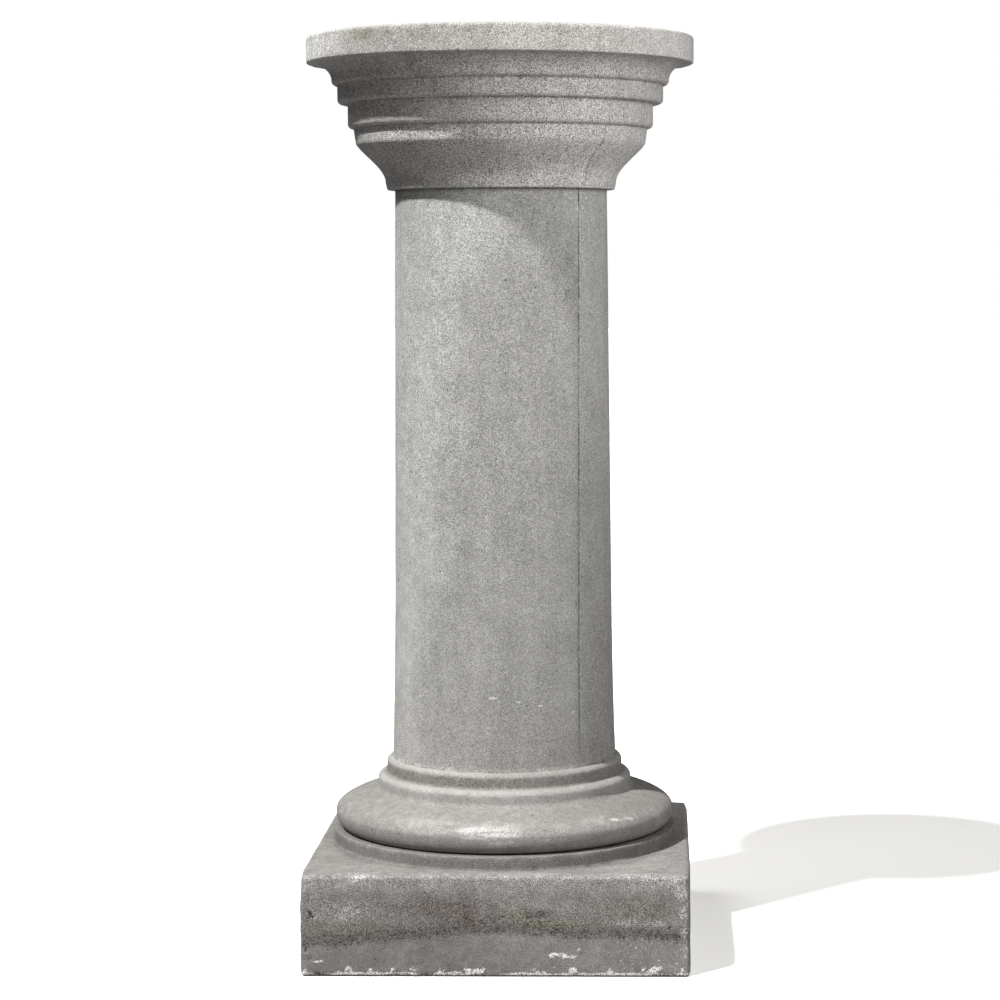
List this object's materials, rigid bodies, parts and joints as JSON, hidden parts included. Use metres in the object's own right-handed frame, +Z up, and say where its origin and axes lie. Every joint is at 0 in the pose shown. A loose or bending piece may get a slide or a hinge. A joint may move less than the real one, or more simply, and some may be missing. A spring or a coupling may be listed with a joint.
{
  "type": "column pedestal",
  "caption": "Cast stone column pedestal: square plinth with a raised disc, tapered round shaft with torus base, and a round moulded capital with a flat slab top.",
  "frame": {"origin": "middle of the plinth's underside", "axes": "+Z up along the column's axis, -Y through the plinth's front face"},
  "size_m": [0.445, 0.445, 1.0453],
  "materials": {
    "plinth_stone": "weathered cast stone, stained and pitted",
    "column_stone": "weathered cast stone, finely grained",
    "capital_stone": "weathered cast stone, coarse grained"
  },
  "bodies": {
    "root": {"plinth": "plinth_stone", "column": "column_stone", "capital": "capital_stone"}
  },
  "joints": []
}
